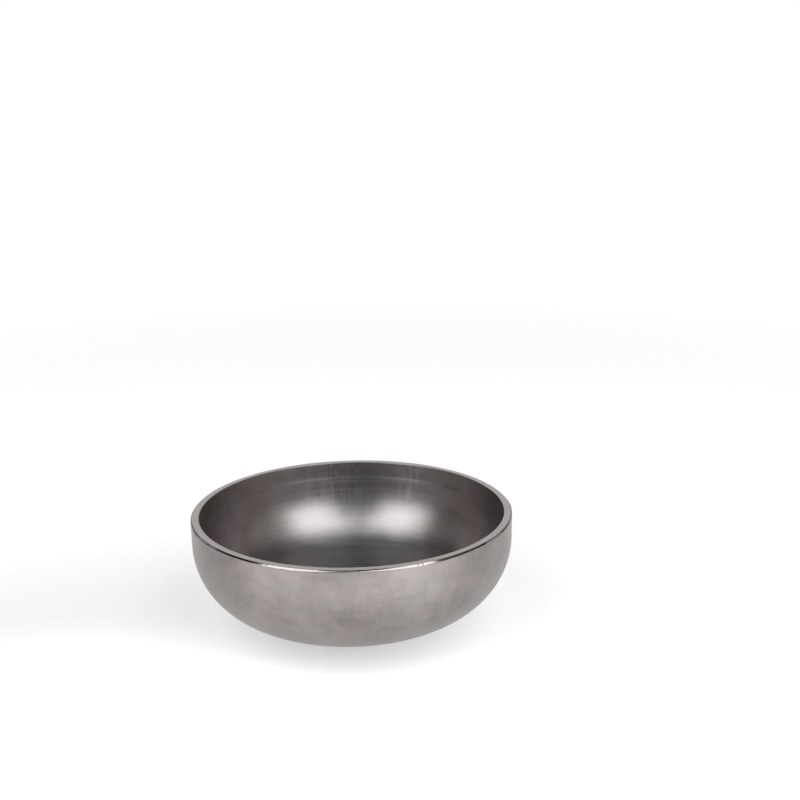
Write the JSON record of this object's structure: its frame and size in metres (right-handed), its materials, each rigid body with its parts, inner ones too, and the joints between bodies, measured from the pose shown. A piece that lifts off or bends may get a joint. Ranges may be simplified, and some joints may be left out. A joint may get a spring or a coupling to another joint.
{
  "type": "pipe cap",
  "caption": "Dished butt-weld end cap for a steel pipe: a shallow pressed bowl with a short straight skirt and a flat machined weld end with a small outer chamfer.",
  "frame": {"origin": "lowest point of the outer crown, on the cap's axis, where it touches the surface that it stands on", "axes": "+Z along the cap's axis, out of the open weld end; X and Y are equal by symmetry"},
  "size_m": [0.219, 0.219, 0.0812],
  "materials": {
    "pressed_steel": "satin grey pressed steel with faint draw lines, and a brighter machined weld end"
  },
  "bodies": {
    "root": {"cap_body": "pressed_steel"}
  },
  "joints": []
}
